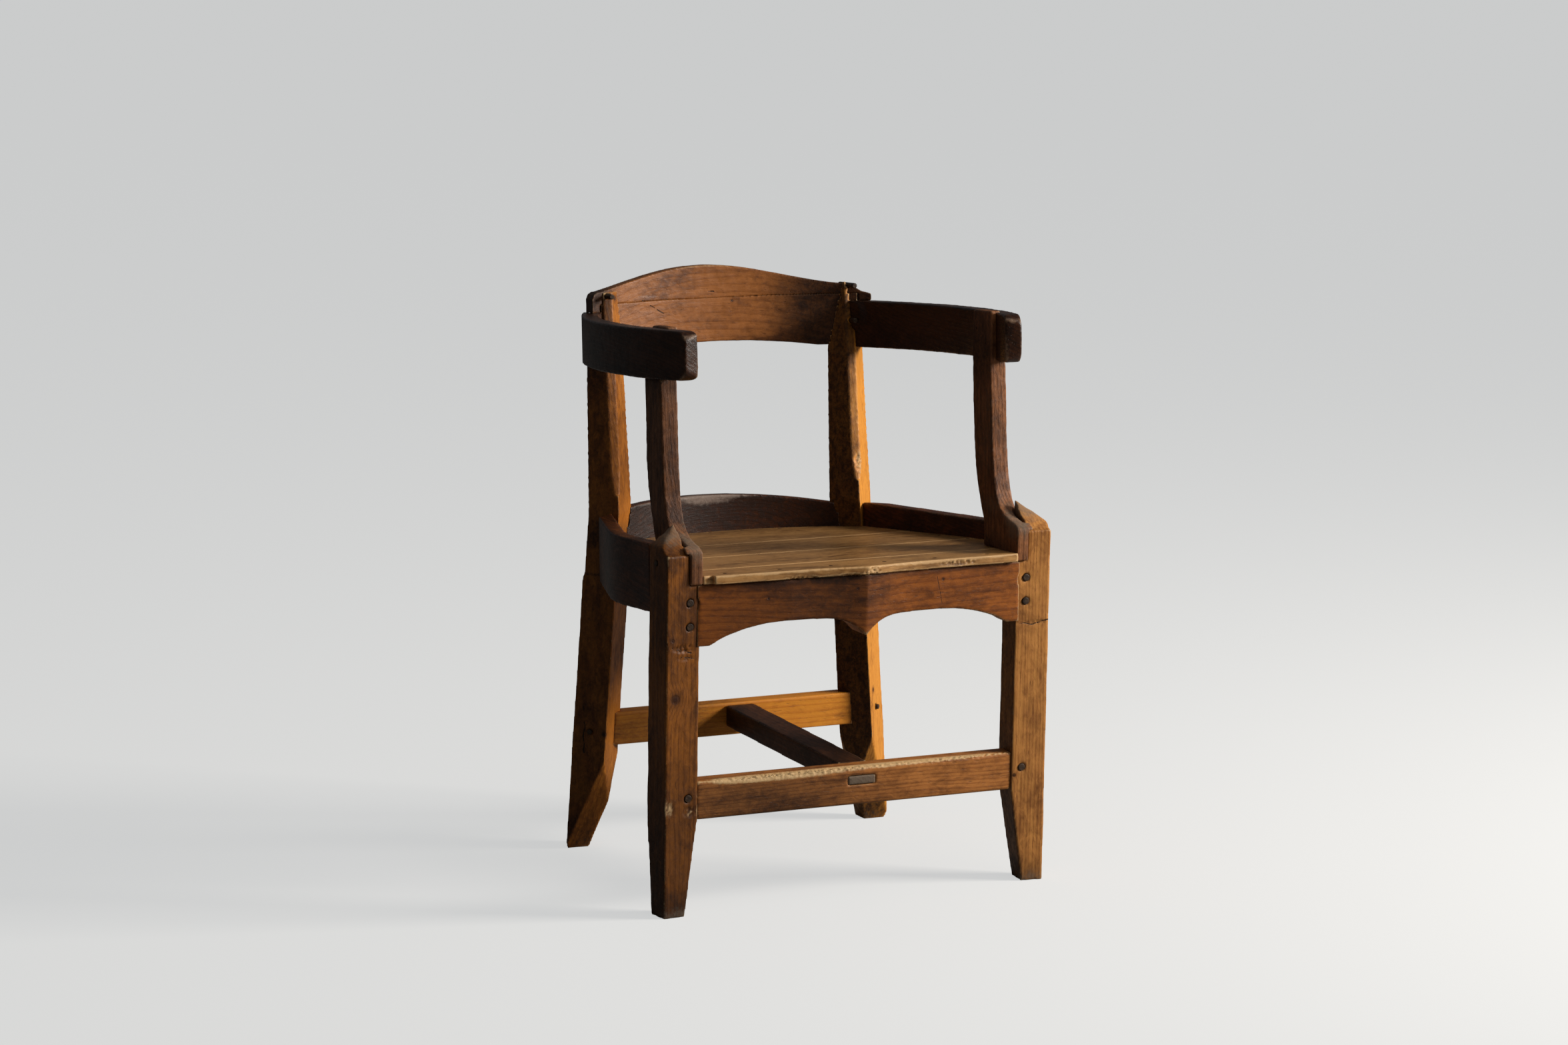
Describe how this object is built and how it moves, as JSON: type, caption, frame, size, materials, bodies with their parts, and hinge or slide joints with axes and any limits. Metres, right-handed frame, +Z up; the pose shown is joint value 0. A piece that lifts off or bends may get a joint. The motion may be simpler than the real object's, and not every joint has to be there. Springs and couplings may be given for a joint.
{
  "type": "armchair",
  "caption": "Low rustic pine armchair with a curved seat rim, sawn arm posts, curved arm rails and an arched crest, pegged together.",
  "frame": {"origin": "on the floor, under the middle of the chair", "axes": "+Z up, -Y towards the chair's front, +X to the right of a viewer who faces the chair"},
  "size_m": [0.5524, 0.5198, 0.7763],
  "materials": {
    "pine_front": "aged, hand-waxed pine",
    "pine_post": "aged pine, bright orange where it is worn",
    "pine_arm_post": "darkened pine, rough and handled",
    "pine_arm_rail": "very dark, polished by hands",
    "pine_back": "warm waxed pine",
    "pine_rim": "dark pine with worn pale edges",
    "pine_seat": "worn, satin",
    "pine_raw": "unfinished",
    "pine_stretcher": "aged, scuffed on top",
    "peg_wood": "dark end grain",
    "nail_iron": "rusted, dull"
  },
  "bodies": {
    "root": {"front_leg_left": "pine_front", "front_leg_right": "pine_front", "back_post_left": "pine_post", "back_post_right": "pine_post", "arm_post_left": "pine_arm_post", "arm_post_right": "pine_arm_post", "arm_rail_left": "pine_arm_rail", "arm_rail_right": "pine_arm_rail", "back_rail": "pine_back", "crest_rail": "pine_back", "front_apron": "pine_front", "seat_rim_left": "pine_rim", "seat_rim_right": "pine_rim", "seat_rim_back": "pine_rim", "seat_board_1": "pine_seat", "seat_board_2": "pine_seat", "seat_board_3": "pine_seat", "seat_board_4": "pine_seat", "seat_cleat_left": "pine_raw", "seat_cleat_right": "pine_raw", "seat_cleat_back": "pine_raw", "front_stretcher": "pine_stretcher", "rear_stretcher": "pine_stretcher", "middle_stretcher": "pine_stretcher", "apron_pegs": "peg_wood", "front_stretcher_pegs": "peg_wood", "rear_stretcher_pegs": "peg_wood", "rim_pegs": "peg_wood", "arm_rail_pegs": "pine_arm_rail", "back_pegs": "peg_wood", "crest_dowels": "peg_wood", "arm_foot_pegs": "peg_wood", "tongue_nails": "nail_iron", "seat_nails": "nail_iron"}
  },
  "joints": []
}
